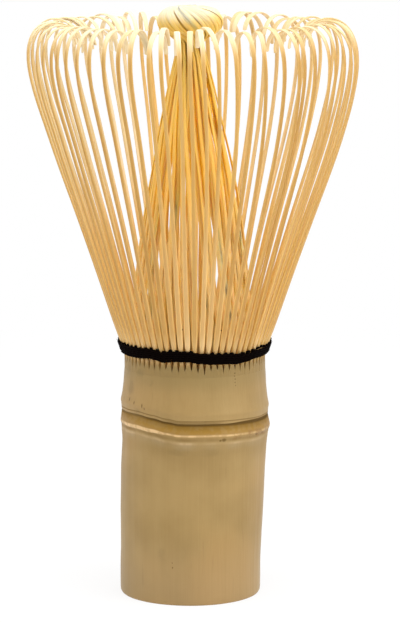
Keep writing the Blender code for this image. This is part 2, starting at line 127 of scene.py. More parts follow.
# Outer tine: heading in degrees (0 upright, positive outwards) by distance from its root
OUTER_HEADING = (
    (0, 0), (1.6, 0), (2.6, 9.7), (3.8, 21), (11.7, 18.5), (23.3, 19.2), (34.9, 20),
    (41.3, 18.9), (45, 17.4), (50.3, 16.6), (53.4, 13.7), (56.4, 10.6), (59.4, 3.5),
    (62.5, -10.1), (64.7, -24.3), (66.6, -45.5), (76.2, -170.2),
)
OUTER_LENGTH = OUTER_HEADING[-1][0]
HOOK_START = 62.0
# Distances along an outer tine at which its section is placed, closest at its root and hook
OUTER_ROWS = np.concatenate(
    [
        [0, 0.5, 1, 1.25, 1.5, 1.75, 2, 2.3, 2.65, 3, 3.4, 4, 5, 6.5],
        np.arange(9, 46, 3),
        np.arange(47.5, 62, 1.4),
        np.linspace(62.3, OUTER_LENGTH - 0.12, 19),
        [OUTER_LENGTH],
    ]
)
# Section of an outer tine: (share of the half width, share of the thickness, skin side)
OUTER_SECTION = (
    (0, -0.06, 1), (0.42, -0.03, 1), (0.68, 0.03, 0.75), (1, 0.26, 0.4), (0.93, 0.8, 0),
    (0.5, 1, 0), (-0.5, 1, 0), (-0.93, 0.8, 0), (-1, 0.26, 0.4), (-0.68, 0.03, 0.75),
    (-0.42, -0.03, 1),
)
# Width and thickness of an outer tine by distance from its root
OUTER_WIDTH = (
    (0, 1.3), (7, 1.1), (12, 0.96), (20, 0.84), (30, 0.75), (40, 0.7), (50, 0.68),
    (57, 0.69), (63, 0.8), (67, 0.95), (72.5, 1), (76.2, 0.76),
)
OUTER_THICKNESS = (
    (0, 1.2), (1.4, 1.1), (3.5, 0.72), (10, 0.64), (20, 0.56), (50, 0.5), (60, 0.44),
    (66, 0.32), (76.2, 0.24),
)
# How far the rims of the front tines stand to the right of an even spacing, from left to right
FRONT_DRIFT = (
    0.3, 0.1, 0.4, 0.1, -0.2, 0.1, -0.2, 0.25, 0.23, 0, 0.67, 0.05, 0.62, -0.32, -0.9, -0.87,
    -0.7, 0.28, -0.7, 0.3, 0.5, -0.12, -0.4, 0.16, 0, 0.4, 0.3,
)
FRONT_TINE = 51
RIM_RADIUS = 30.4
# The slits are fully open at this height, and a tine has its own width from a little below it
SLIT_OPEN_Z = 45.75
OWN_WIDTH_Z = 45.4

# Middle line of an inner tine: (radius, height) of its root, its bell's ends, and its bun by layer
INNER_ROOT = ((10.95, 42.85), (10.95, 44.4), (11.1, 47.4))
BELL_RADIUS = 11.1
BELL_Z = 47.4
NECK_Z = 102.6
NECK_RADII = (2.45, 2, 1.5)
BUN_LINES = (
    (
        (2.7, 103.7), (3.6, 104.5), (4.6, 105.05), (5.45, 105.85), (5.85, 106.9), (5.7, 108),
        (5, 108.95), (4, 109.55), (2.85, 109.9), (1.6, 109.95), (0.3, 109.6),
    ),
    (
        (2.25, 103.7), (3.1, 104.8), (4.2, 105.5), (5, 106.3), (5.3, 107.1), (5.1, 108),
        (4.4, 108.75), (3.5, 109.2), (2.5, 109.45), (1.4, 109.45), (0.3, 109.2),
    ),
    (
        (1.8, 103.7), (2.8, 105.1), (3.9, 106), (4.6, 106.6), (4.8, 107.3), (4.6, 107.9),
        (4, 108.45), (3.2, 108.8), (2.3, 109), (1.3, 109), (0.3, 108.8),
    ),
)
LAYERS = np.tile((0, 1, 0, 2), SEGMENTS)
# How far the strands of each layer lean as they rise through the bell, in degrees
LAYER_LEAN = (1.5, -2.2, 2.8)
BUN_LEAN = 40.5
# An inner tine's controls are numbered from 0: its neck is 12 and its tip 23
NECK = 12.0
TIP = 23.0
# Numbers of the rows of an inner tine: sparse on the root and bell, close in the bun
INNER_ROWS = np.concatenate([np.linspace(0, NECK, 30, endpoint=False), np.linspace(NECK, TIP, 54)])
# Section of an inner tine: (share of the half width, share of the thickness)
INNER_SECTION = (
    (0, 0.56), (0.7, 0.42), (1, 0), (0.72, -0.42), (0, -0.5), (-0.72, -0.42), (-1, 0),
    (-0.7, 0.42),
)
# Width and thickness of an inner tine by the number along its controls
INNER_WIDTH = (
    (0, 1), (2, 0.94), (4, 0.82), (9, 0.68), (11.5, 0.5), (12.6, 0.44), (14, 0.56),
    (16, 0.92), (18, 0.98), (20, 0.84), (22, 0.52), (23, 0.4),
)
INNER_THICKNESS = (
    (0, 0.7), (3, 0.45), (9, 0.3), (12, 0.26), (16, 0.3), (20, 0.28), (23, 0.16),
)

THREAD_RADIUS = 0.23
THREAD_TURNS = 4
THREAD_PITCH = 0.405
THREAD_Z = 46.01
PLY_LENGTH = 1.1
LACED_Z = 47.55
LACED_RADIUS = 13.2
KNOT_RADIUS = 0.12
KNOT_PLY_LENGTH = 0.7
LOOSE_FIBRES = 420
# Radius of the outer tines' face by height, through the thread's zone
FLARE = ((43.6, 13.12), (45.3, 13.28), (46, 13.5), (47, 13.83), (48, 14.2), (49.7, 14.75))
# How far the band stands above its level height, by degrees to the left of the front
THREAD_SAG = (
    (-90, -0.1), (-62, -0.3), (-54, -0.3), (-44, -0.62), (-35, -0.82), (-24, -0.56),
    (-12, -0.48), (-4, -0.34), (5, 0.02), (14, 0.04), (20, -0.1), (25, -0.24),
    (31, 0.14), (37, 0.3), (48, 0.08), (60, 0), (120, 0.1), (190, -0.1),
    (270, -0.1),
)

# Tint of the reflections on bamboo, and how far light soaks into a tine, in metres
STRAW_SHINE = (1.0, 0.82, 0.5, 1)
GLOW_DEPTH = 0.0005
# The photograph's long lens, in pixels of its height, and how far the camera looks down, in degrees
FOCAL_LENGTH = 3002.15
PHOTO_HEIGHT = 623.0
SENSOR = 36.0
CAMERA_PITCH = 9.095
CAMERA_PLACE = (0.00097, -0.553561, 0.141772)


def smoothstep(low, high, x):
    """0 below low, 1 above high and 3t^2 - 2t^3 of the share t between them."""
    t = np.clip((np.asarray(x, float) - low) / (high - low), 0.0, 1.0)
    return t * t * (3.0 - 2.0 * t)


def falling(low, high, x):
    """The reverse: 1 below low and 0 above high."""
    return 1.0 - smoothstep(low, high, x)


def window(rise, full, fall, end, x):
    """0 up to rise, 1 from full to fall, and 0 again from end."""
    return smoothstep(rise, full, x) * falling(fall, end, x)


def table(x, pairs):
    """Straight lines between the pairs of a table, read at x."""
    pairs = np.array(pairs, float)
    return np.interp(x, pairs[:, 0], pairs[:, 1])


def eased_table(x, pairs):
    """The same, with a smoothstep between each two pairs."""
    pairs = np.array(pairs, float)
    place = np.clip(np.searchsorted(pairs[:, 0], x, side="right") - 1, 0, len(pairs) - 2)
    share = smoothstep(0, 1, (x - pairs[place, 0]) / (pairs[place + 1, 0] - pairs[place, 0]))
    return pairs[place, 1] + share * (pairs[place + 1, 1] - pairs[place, 1])


def through(controls, along):
    """Catmull-Rom curve through the controls, read at along, which numbers them from 0.

    Between two controls b and c, with a before and d after, it is
    (2b + (c-a)t + (2a-5b+4c-d)t^2 + (3b-a-3c+d)t^3) / 2.
    """
    before = 2 * controls[:1] - controls[1:2]
    after = 2 * controls[-1:] - controls[-2:-1]
    padded = np.concatenate([before, controls, after])
    place = np.minimum(along.astype(int), len(controls) - 2)
    t = (along - place)[..., None]
    a, b, c, d = (padded[place + i] for i in range(4))
    squared = 2 * a - 5 * b + 4 * c - d
    cubed = 3 * b - a - 3 * c + d
    return (2 * b + (c - a) * t + squared * t**2 + cubed * t**3) / 2


def polar(radius, angle, height, shift=0.0):
    """Points at radius, angle and height, shifted along x."""
    radius, angle, height = np.broadcast_arrays(radius, angle, height)
    return np.stack([radius * np.cos(angle) + shift, radius * np.sin(angle), height], axis=-1)


def unit(vectors):
    """The vectors, each made 1 long."""
    return vectors / np.linalg.norm(vectors, axis=-1, keepdims=True)


def steps(line):
    """Length of the step to each point of line[..., point, xyz] from the one before, 0 for the first."""
    return np.linalg.norm(np.diff(line, axis=-2, prepend=line[..., :1, :]), axis=-1)


def left_of_front(angle):
    """Degrees from the front round to the left, from -90 to 270."""
    return (np.degrees(-np.pi / 2 - angle) + 90.0) % 360.0 - 90.0


def node_rise(angle):
    """How far the node's ridge and groove are lifted at this angle about the axis."""
    return eased_table(left_of_front(angle), NODE_RISE)


def node_window(height):
    """1 at the node and 0 away from it, so that only its lines are tilted."""
    return window(24, 30.5, 36.5, 41, height)


def waves(angle, height, seed, count, roundness, length):
    """Slow unevenness of a turned surface: a sum of cosines of whole turns and random slant.

    Each of the waves has up to roundness turns about the axis and is about length millimetres long.
    The sum runs from about -1 to 1.
    """
    rng = np.random.default_rng(seed)
    total = np.zeros(np.broadcast(angle, height).shape)
    for _ in range(count):
        turns = rng.integers(1, roundness + 1)
        rate = rng.normal() * TURN / length
        total = total + np.cos(turns * angle + rate * height + rng.uniform(0, TURN))
    return total / math.sqrt(count)


def skin_radius(angle, height):
    """Radius of the culm's skin: its table, read where the node's lines lie, and waves.

    On the left the node's crest is rubbed down by a bell curve of the height.
    """
    level = height - node_rise(angle) * node_window(height)
    uneven = 0.035 * waves(angle, height, 3, 8, 5, 40.0) + 0.012 * waves(angle, height, 4, 8, 16, 9.0)
    rubbed = window(45, 85, 110, 150, left_of_front(angle))
    crest = np.exp(-(((level - 32.3) / 1.3) ** 2))
    return table(level, CULM_SKIN) + uneven - 0.16 * rubbed * crest


def new_object(name, data):
    made = bpy.data.objects.new(name, data)
    bpy.context.scene.collection.objects.link(made)
    return made


def grid_faces(rows, columns):
    """Quads of a grid of points numbered row by row, with the last column joined to the first."""
    start = np.arange(rows - 1)[:, None] * columns
    here = start + np.arange(columns)
    beside = start + (np.arange(columns) + 1) % columns
    return np.stack([here, beside, beside + columns, here + columns], axis=-1).reshape(-1, 4)


def enclosed_volume(points, faces):
    """Sum of the signed volumes under each face's fan of triangles; positive if faces point outwards."""
    total = 0.0
    corners = points[faces]
    for i in range(1, corners.shape[1] - 1):
        fan = np.cross(corners[:, i], corners[:, i + 1])
        total += np.einsum("ij,ij->i", corners[:, 0], fan).sum()
    return total


def strand_faces(points):
    """Faces of closed strands from points[strand, row, column, xyz]: their sides and both end caps."""
    strands, rows, columns, _ = points.shape
    sides = grid_faces(rows, columns)
    foot = np.arange(columns)[::-1]
    tip = (rows - 1) * columns + np.arange(columns)
    if enclosed_volume(points[0].reshape(-1, 3), sides) < 0:
        sides, foot, tip = sides[:, ::-1], foot[::-1], tip[::-1]
    start = np.arange(strands)[:, None, None] * rows * columns
    faces = (sides[None] + start).reshape(-1, 4).tolist()
    for end in (foot, tip):
        faces += (end[None] + start[:, 0]).tolist()
    return faces


def strand_uv(across, along, shape):
    """UV map in metres of strands with points of this shape, from millimetres across and along them."""
    return np.stack([np.broadcast_to(across, shape), np.broadcast_to(along, shape)], axis=-1) * MM


def make_piece(name, points, faces, material, nodes, values=None, uv=None, sharp=None):
    """A finished mesh object that rides on the whisk and stands for the named CAD nodes."""
    mesh = bpy.data.meshes.new(name)
    mesh.from_pydata(points.reshape(-1, 3).tolist(), [], faces)
    for key, value in (values or {}).items():
        layer = mesh.attributes.new(key, "FLOAT", "POINT")
        layer.data.foreach_set("value", np.asarray(value, np.float32).ravel())
    if uv is not None:
        layer = mesh.uv_layers.new(name="UVMap")
        corner = np.zeros(len(mesh.loops), np.int32)
        mesh.loops.foreach_get("vertex_index", corner)
        layer.data.foreach_set("uv", uv.reshape(-1, 2)[corner].astype(np.float32).ravel())
    mesh.shade_smooth()
    if sharp is not None:
        mesh.set_sharp_from_angle(angle=math.radians(sharp))
    mesh.materials.append(material)
    obj = new_object(name, mesh)
    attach(obj, "root")
    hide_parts(*nodes)
    return obj


def make_tine_pieces(kind, points, values, uv, material, sharp):
    """One piece for each segment of the split stem, with its four tines."""
    values = {key: np.broadcast_to(value, points.shape[:3]) for key, value in values.items()}
    for segment in range(SEGMENTS):
        part = slice(segment * TINES_PER_SEGMENT, (segment + 1) * TINES_PER_SEGMENT)
        node = f"{kind}_{segment + 1:02d}"
        make_piece(
            node + "_split",
            points[part],
            strand_faces(points[part]),
            material,
            [node],
            {key: value[part] for key, value in values.items()},
            uv[part],
            sharp,
        )


# Materials


def set_inputs(tree, node, inputs):
    """Set or link each input of a node: a number, a colour or another node's output."""
    for key, value in inputs.items():
        if isinstance(value, bpy.types.NodeSocket):
            tree.links.new(value, node.inputs[key])
        else:
            node.inputs[key].default_value = value


def add_node(tree, kind, inputs, **settings):
    """A new shader node with these inputs and settings."""
    made = tree.nodes.new(kind)
    for key, value in settings.items():
        setattr(made, key, value)
    set_inputs(tree, made, inputs)
    return made


def math_node(tree, operation, *values, clamp=False):
    inputs = dict(enumerate(values))
    return add_node(tree, "ShaderNodeMath", inputs, operation=operation, use_clamp=clamp).outputs[0]


def vector_node(tree, operation, *values):
    inputs = dict(enumerate(values))
    return add_node(tree, "ShaderNodeVectorMath", inputs, operation=operation).outputs


def mix_colour(tree, factor, first, second, amount=1.0, blend="MIX"):
    """The first colour going over to the second by factor times amount."""
    if amount != 1.0:
        factor = math_node(tree, "MULTIPLY", factor, amount)
    # Of a Mix node's sockets, inputs 6 and 7 and output 2 are its colours
    inputs = {0: factor, 6: first, 7: second}
    return add_node(tree, "ShaderNodeMix", inputs, data_type="RGBA", blend_type=blend).outputs[2]


def ranged(tree, value, low, high, to_low=0.0, to_high=1.0):
    """value from low to high made to_low to to_high with a smoothstep, held at the ends."""
    inputs = {"Value": value, "From Min": low, "From Max": high, "To Min": to_low, "To Max": to_high}
    made = add_node(tree, "ShaderNodeMapRange", inputs, interpolation_type="SMOOTHSTEP")
    return made.outputs["Result"]


def noise(tree, place, scale, detail, roughness=0.5):
    inputs = {"Vector": place, "Scale": scale, "Detail": detail, "Roughness": roughness}
    return add_node(tree, "ShaderNodeTexNoise", inputs).outputs["Fac"]


def bump(tree, height, distance, strength):
    inputs = {"Height": height, "Distance": distance, "Strength": strength}
    return add_node(tree, "ShaderNodeBump", inputs).outputs["Normal"]


def attribute(tree, name):
    return add_node(tree, "ShaderNodeAttribute", {}, attribute_name=name).outputs["Fac"]


def object_place(tree):
    return add_node(tree, "ShaderNodeTexCoord", {}).outputs["Object"]


def uv_place(tree):
    return add_node(tree, "ShaderNodeUVMap", {}, uv_map="UVMap").outputs["UV"]


def new_group(name, inputs, outputs):
    """An empty shader node group, its input node's outputs and its output node's inputs.

    Each input has its starting value, a number or a vector, and each output its kind of socket.
    """
    tree = bpy.data.node_groups.new(name, "ShaderNodeTree")
    for key, value in inputs.items():
        kind = "NodeSocketFloat" if isinstance(value, float) else "NodeSocketVector"
        socket = tree.interface.new_socket(key, in_out="INPUT", socket_type=kind)
        socket.default_value = value
    for key, kind in outputs.items():
        tree.interface.new_socket(key, in_out="OUTPUT", socket_type="NodeSocket" + kind)
    return tree, tree.nodes.new("NodeGroupInput").outputs, tree.nodes.new("NodeGroupOutput").inputs


def use_group(tree, group, inputs):
    return add_node(tree, "ShaderNodeGroup", inputs, node_tree=group).outputs


def make_fibre_group():
    """Bamboo fibres: noise drawn out along one direction of the given coordinates.

    The coordinates are in metres. Streak is a coarse pattern of fibre bundles, Fibre a fine one, Fleck
    the few dark short dashes where a bundle is cut open and Cloud the slow change of the culm's tint.
    """
    tree, given, result = new_group(
        "bamboo_fibres",
        {"Vector": (0.0, 0.0, 0.0), "Across": 900.0, "Along": 25.0},
        {"Streak": "Float", "Fibre": "Float", "Fleck": "Float", "Cloud": "Float"},
    )
    rates = {"X": given["Across"], "Y": given["Across"], "Z": given["Along"]}
    stretch = add_node(tree, "ShaderNodeCombineXYZ", rates).outputs[0]
    drawn = vector_node(tree, "MULTIPLY", given["Vector"], stretch)[0]
    short = vector_node(tree, "MULTIPLY", drawn, (1.7, 1.7, 7.0))[0]
    patterns = {
        "Streak": (noise(tree, drawn, 1.0, 3.0, 0.6), 0.32, 0.68),
        "Fibre": (noise(tree, drawn, 4.5, 2.0, 0.7), 0.32, 0.68),
        "Fleck": (noise(tree, short, 1.0, 1.0), 0.7, 0.78),
        "Cloud": (noise(tree, given["Vector"], 95.0, 3.0), 0.3, 0.7),
    }
    for key, (pattern, low, high) in patterns.items():
        tree.links.new(ranged(tree, pattern, low, high), result[key])
    return tree


def make_spot_group():
    """A soft spot: Strength within its centre and 0 at its edge, drawn out upwards by Stretch."""
    origin = (0.0, 0.0, 0.0)
    tree, given, result = new_group(
        "soft_spot",
        {"Vector": origin, "Centre": origin, "Radius": 0.0005, "Stretch": 1.0, "Strength": 1.0},
        {"Mask": "Float"},
    )
    apart = vector_node(tree, "SUBTRACT", given["Vector"], given["Centre"])[0]
    flatter = {"X": 1.0, "Y": 1.0, "Z": math_node(tree, "DIVIDE", 1.0, given["Stretch"])}
    squeeze = add_node(tree, "ShaderNodeCombineXYZ", flatter).outputs[0]
    squeezed = vector_node(tree, "MULTIPLY", apart, squeeze)[0]
    distance = vector_node(tree, "LENGTH", squeezed)["Value"]
    share = math_node(tree, "DIVIDE", distance, given["Radius"])
    mask = math_node(tree, "MULTIPLY", ranged(tree, share, 1.0, 0.35), given["Strength"])
    tree.links.new(mask, result["Mask"])
    return tree


def spot_mask(tree, place, spot_group, spots):
    """The strongest of some spots on the culm's skin at each place."""
    mask = 0.0
    for left, height, radius, stretch, strength in spots:
        angle = -math.pi / 2 - math.radians(left)
        centre = polar(skin_radius(angle, height), angle, height, table(height, STEM_LEAN)) * MM
        inputs = {
            "Vector": place,
            "Centre": centre.tolist(),
            "Radius": radius * MM,
            "Stretch": stretch,
            "Strength": strength,
        }
        mask = math_node(tree, "MAXIMUM", mask, use_group(tree, spot_group, inputs)["Mask"])
    return mask


def make_skin_group(fibres, spot_group):
    """Dried skin of the culm: tan, with soft clouds, faint fibre streaks, smudges and dark spots, and
    painted shade on the top of the collar.
    """
    tree, given, result = new_group(
        "culm_skin",
        {"Vector": (0.0, 0.0, 0.0)},
        {"Color": "Color", "Relief": "Float", "Roughness": "Float"},
    )
    place = given["Vector"]
    height = add_node(tree, "ShaderNodeSeparateXYZ", {0: place}).outputs["Z"]
    grain = use_group(tree, fibres, {"Vector": place, "Across": 620.0, "Along": 14.0})
    patch = ranged(tree, noise(tree, place, 48.0, 2.0), 0.42, 0.68, 0.0, 0.7)
    spots = spot_mask(tree, place, spot_group, SKIN_SPOTS)
    smudges = spot_mask(tree, place, spot_group, SKIN_SMUDGES)
    uneven = ranged(tree, noise(tree, place, 420.0, 3.0), 0.4, 0.6, 0.08, 0.45)
    smudges = math_node(tree, "MULTIPLY", smudges, uneven)
    # Painted shade: the collar darkens towards its top, from 39.2 to 42.6 mm up, below the tines' roots.
    collar_shade = ranged(tree, height, 0.0392, 0.0426, 0.0, 0.42)
    scuffed = ranged(tree, height, 0.002, 0.016, 0.15, 0.0)
    colour = mix_colour(tree, grain["Cloud"], (0.281, 0.182, 0.068, 1), (0.336, 0.223, 0.088, 1))
    tints = (
        (patch, 1.0, (0.345, 0.206, 0.072, 1)),
        (grain["Streak"], 0.1, (0.22, 0.135, 0.04, 1)),
        (grain["Fibre"], 0.05, (0.46, 0.33, 0.14, 1)),
        (grain["Fleck"], 0.14, (0.14, 0.085, 0.03, 1)),
        (smudges, 1.0, (0.17, 0.115, 0.045, 1)),
        (collar_shade, 1.0, (0.2, 0.145, 0.055, 1)),
        (scuffed, 1.0, (0.42, 0.32, 0.22, 1)),
        (spots, 0.72, (0.09, 0.046, 0.006, 1)),
    )
    for share, amount, tint in tints:
        colour = mix_colour(tree, share, colour, tint, amount)
    relief = math_node(tree, "MULTIPLY_ADD", grain["Fibre"], 0.5, grain["Streak"])
    tree.links.new(colour, result["Color"])
    tree.links.new(math_node(tree, "SUBTRACT", relief, spots), result["Relief"])
    tree.links.new(ranged(tree, grain["Streak"], 0.0, 1.0, 0.4, 0.5), result["Roughness"])
    return tree


def new_material(name):
    """A material and its node tree."""
    material = bpy.data.materials.new(name)
    material.use_nodes = True
    return material, material.node_tree


def set_surface(tree, inputs):
    """Set or link the inputs of a material's Principled shader."""
    set_inputs(tree, tree.nodes["Principled BSDF"], inputs)


def make_skin_material(skin_group):
    """The culm: its skin, with the warmer node band, a painted highlight on the lip's crest, the node's
    dark lines with painted shade under the lip and below the node, a mottled darkening round the lip
    that is strongest on the right, and its sawn edge.
    """
    material, tree = new_material("bamboo_skin")
    place = object_place(tree)
    skin = use_group(tree, skin_group, {"Vector": place})
    blotch = ranged(tree, noise(tree, place, 900.0, 3.0), 0.42, 0.62)
    faded = ranged(tree, blotch, 0.0, 1.0, 1.0, 0.7)
    # Over the skin: the node's warmer band, a greyer band below it, a painted highlight on the lip's
    # crest, the node's dark lines with painted shade, the sawn edge, and a mottled darkening round the
    # lip.
    tints = (
        ("node_band", faded, 0.9, (0.27, 0.142, 0.018, 1)),
        ("node_grey", faded, 0.6, (0.36, 0.27, 0.15, 1)),
        ("node_edge_highlight", faded, 0.9, (0.67, 0.45, 0.225, 1)),
        ("node_lines_and_shade", 1.0, 0.92, (0.07, 0.033, 0.003, 1)),
        ("sawn_edge", 1.0, 0.3, (0.46, 0.3, 0.13, 1)),
        ("node_dark_right", blotch, 1.0, (0.2, 0.09, 0.02, 1)),
    )
    colour = skin["Color"]
    for key, pattern, amount, tint in tints:
        share = math_node(tree, "MULTIPLY", attribute(tree, key), pattern)
        colour = mix_colour(tree, share, colour, tint, amount)
    dark = attribute(tree, "node_lines_and_shade")
    surface = {
        "Base Color": colour,
        "Roughness": math_node(tree, "MULTIPLY_ADD", dark, 0.55, skin["Roughness"], clamp=True),
        "Specular IOR Level": 0.32,
        "Specular Tint": STRAW_SHINE,
        "Normal": bump(tree, skin["Relief"], 0.00003, 0.4),
    }
    set_surface(tree, surface)
    return material


def make_pith_material(fibres):
    """Raw inside of the stem: pale, matt and slightly fluffy."""
    material, tree = new_material("bamboo_pith")
    place = object_place(tree)
    grain = use_group(tree, fibres, {"Vector": place, "Across": 1400.0, "Along": 900.0})
    colour = mix_colour(tree, grain["Cloud"], (0.6, 0.44, 0.23, 1), (0.7, 0.55, 0.33, 1))
    colour = mix_colour(tree, grain["Fleck"], colour, (0.27, 0.16, 0.06, 1), 0.7)
    normal = bump(tree, grain["Streak"], 0.00006, 0.6)
    set_surface(tree, {"Base Color": colour, "Roughness": 0.85, "Normal": normal})
    return material


def make_tine_material(name, fibres, skin_group, skin, flesh, tip, roughness, shine, glow):
    """Split bamboo: skin colour on the outer face, flesh on the cut faces and paler towards the tip.

    Attributes, each from 0 to 1: skin on the outer face; fade for the paling towards the tip, with
    painted light that pales the low inner strands, the side tines' cut walls and the stems round the
    thread; tone for each tine's own lightness, with painted light and shade by where it stands; root
    where the skin is still the culm's; soot for painted shade in the slits; and grime for painted shade
    above and below the thread and at the inner bundle's neck. The UV map is in metres across and along
    the tine. Shine is how strongly its face reflects, and glow the share of light that soaks into it.
    """
    material, tree = new_material(name)
    across = add_node(tree, "ShaderNodeSeparateXYZ", {0: uv_place(tree)}).outputs
    flat = {"X": across["X"], "Y": 0.0, "Z": across["Y"]}
    along_fibres = add_node(tree, "ShaderNodeCombineXYZ", flat).outputs[0]
    grain = use_group(tree, fibres, {"Vector": along_fibres, "Across": 2700.0, "Along": 55.0})
    fade_and_light = attribute(tree, "fade_and_light")
    unfaded = math_node(tree, "SUBTRACT", 1.0, fade_and_light)
    face = math_node(tree, "MULTIPLY", attribute(tree, "skin"), unfaded)
    colour = mix_colour(tree, face, flesh, skin)
    colour = mix_colour(tree, fade_and_light, colour, tip)
    darker = mix_colour(tree, 1.0, colour, (0.77, 0.655, 0.43, 1), blend="MULTIPLY")
    colour = mix_colour(tree, grain["Streak"], colour, darker, 0.5)
    colour = mix_colour(tree, grain["Fleck"], colour, darker, 0.25)
    shade = mix_colour(tree, attribute(tree, "tone_and_shade"), (0.84, 0.78, 0.62, 1), (1.0, 1.0, 1.0, 1))
    colour = mix_colour(tree, 1.0, colour, shade, blend="MULTIPLY")
    culm = use_group(tree, skin_group, {"Vector": object_place(tree)})
    colour = mix_colour(tree, attribute(tree, "root"), colour, culm["Color"])
    # Painted shade: the slits' cut walls and the inner tines' roots behind them are darkened brown.
    colour = mix_colour(tree, attribute(tree, "slit_shade"), colour, (0.2, 0.105, 0.03, 1))
    # Painted shade: darker round the thread and at the inner bundle's neck.
    shaded_colour = mix_colour(tree, 1.0, colour, (0.16, 0.14, 0.12, 1), blend="MULTIPLY")
    colour = mix_colour(tree, attribute(tree, "painted_shade"), colour, shaded_colour)
    relief = math_node(tree, "MULTIPLY_ADD", grain["Fibre"], 0.6, grain["Streak"])
    surface = {
        "Base Color": colour,
        "Roughness": roughness,
        "Specular IOR Level": shine,
        "Specular Tint": STRAW_SHINE,
        "Subsurface Weight": glow,
        "Subsurface Radius": (1.0, 0.84, 0.6),
        "Subsurface Scale": GLOW_DEPTH,
        "Normal": bump(tree, relief, 0.00002, 0.5),
    }
    set_surface(tree, surface)
    return material


def make_thread_material():
    """Black cotton: matt and a little brown, with the sheen of its fibres."""
    material, tree = new_material("black_thread")
    stretched = vector_node(tree, "MULTIPLY", uv_place(tree), (9000.0, 1800.0, 1.0))[0]
    hair = noise(tree, stretched, 1.0, 2.0)
    surface = {
        "Base Color": mix_colour(tree, hair, (0.0008, 0.0004, 0.0003, 1), (0.0045, 0.0019, 0.0015, 1)),
        "Roughness": 0.9,
        "Sheen Weight": 0.0015,
        "Specular IOR Level": 0.02,
        "Normal": bump(tree, hair, 0.00004, 0.7),
    }
    set_surface(tree, surface)
    return material


# Culm


def culm_values(angle, level):
    """Where the culm's skin has each tint of its node and foot, by angle and level height. Among them
    are a painted highlight on the lip's crest and painted shade under the lip and below the node.
    """
    broken = np.clip(0.5 + 0.5 * waves(angle, 0.0, 12, 7, 23, 9.0), 0.0, 1.0)
    right = (np.degrees(angle) - 90.0) % 360.0 - 180.0
    at_front = falling(14, 30, np.abs(right))
    at_left = window(20, 36, 60, 80, -right)
    at_right = window(22, 42, 100, 140, right)
    groove = (
        0.95 * smoothstep(33.75, 34.12, level)
        * falling(34.28, 34.42, level - 0.3 * window(22, 55, 100, 140, right))
        + 0.38 * window(32.8, 33.75, 33.75, 34.12, level)
    )
    # Painted highlight: the lip's crest, and a fainter line under it, are painted pale, more on the left
    # and less on the right.
    crest = smoothstep(31.9, 32.1, level + 0.3 * at_left) * falling(32.25, 32.47, level)
    return {
        "node_band": window(31.4, 33.1, 33.95, 34.15, level),
        "node_grey": window(28.9, 30.6, 30.8, 31.1, level) * broken,
        "node_edge_highlight": (
            crest * (0.7 + 0.3 * broken + 0.15 * at_left - 0.4 * at_right)
            + 0.35 * window(30.35, 30.6, 30.75, 31, level) * broken
        ),
        # The groove's real dark scar lines, with painted shade added: in the groove's recess, under the
        # lip's overhang and faintly below the node.
        "node_lines_and_shade": (
            groove * (1.0 - 0.3 * smoothstep(25, 60, -right))
            + 0.5 * window(34.68, 34.82, 34.9, 35.05, level)
            + 0.42 * window(34.3, 34.42, 34.68, 34.82, level) * at_front
            + 0.36 * window(31, 31.3, 31.5, 31.85, level) * (0.3 + 0.7 * broken)
            + 0.1 * window(26.5, 29, 30.3, 31, level)
        ),
        # A mottled darkening round the lip, faint at the front and strongest on the right.
        "node_dark_right": window(30.9, 31.5, 32.5, 33, level) * (0.12 + 0.38 * at_right),
        "sawn_edge": falling(0.1, 0.9, level),
    }


def make_culm(material):
    """The handle, node and collar: a closed grid, up the skin, over the top edge and down the bore.

    The skin's row at level height h lies at h plus the node's rise there, and its radius is the
    skin's radius. The section's centre follows the stem's lean below the node.
    """
    rows = [np.arange(*row) for row in CULM_ROWS]
    level = np.concatenate([FOOT_ROWS, *rows, [ROOT_Z]])[:, None]
    angle = (np.arange(CULM_COLUMNS) * TURN / CULM_COLUMNS)[None, :]
    height = level + node_rise(angle) * node_window(level)
    skin = polar(skin_radius(angle, height), angle, height, table(height, STEM_LEAN))
    wall = [polar(radius, angle, at, table(at, STEM_LEAN)) for radius, at in CULM_WALL]
    points = np.concatenate([skin, *wall]) * MM
    count = len(points) * CULM_COLUMNS
    faces = grid_faces(len(points) + 1, CULM_COLUMNS) % count
    if enclosed_volume(points.reshape(-1, 3), faces) < 0:
        faces = faces[:, ::-1]
    values = {}
    for key, value in culm_values(angle, level).items():
        values[key] = np.zeros(points.shape[:2])
        values[key][: len(level)] = value
    faces = faces.tolist()
    make_piece("culm", points, faces, material, ["handle_culm"], values, sharp=50)


# Outer tines


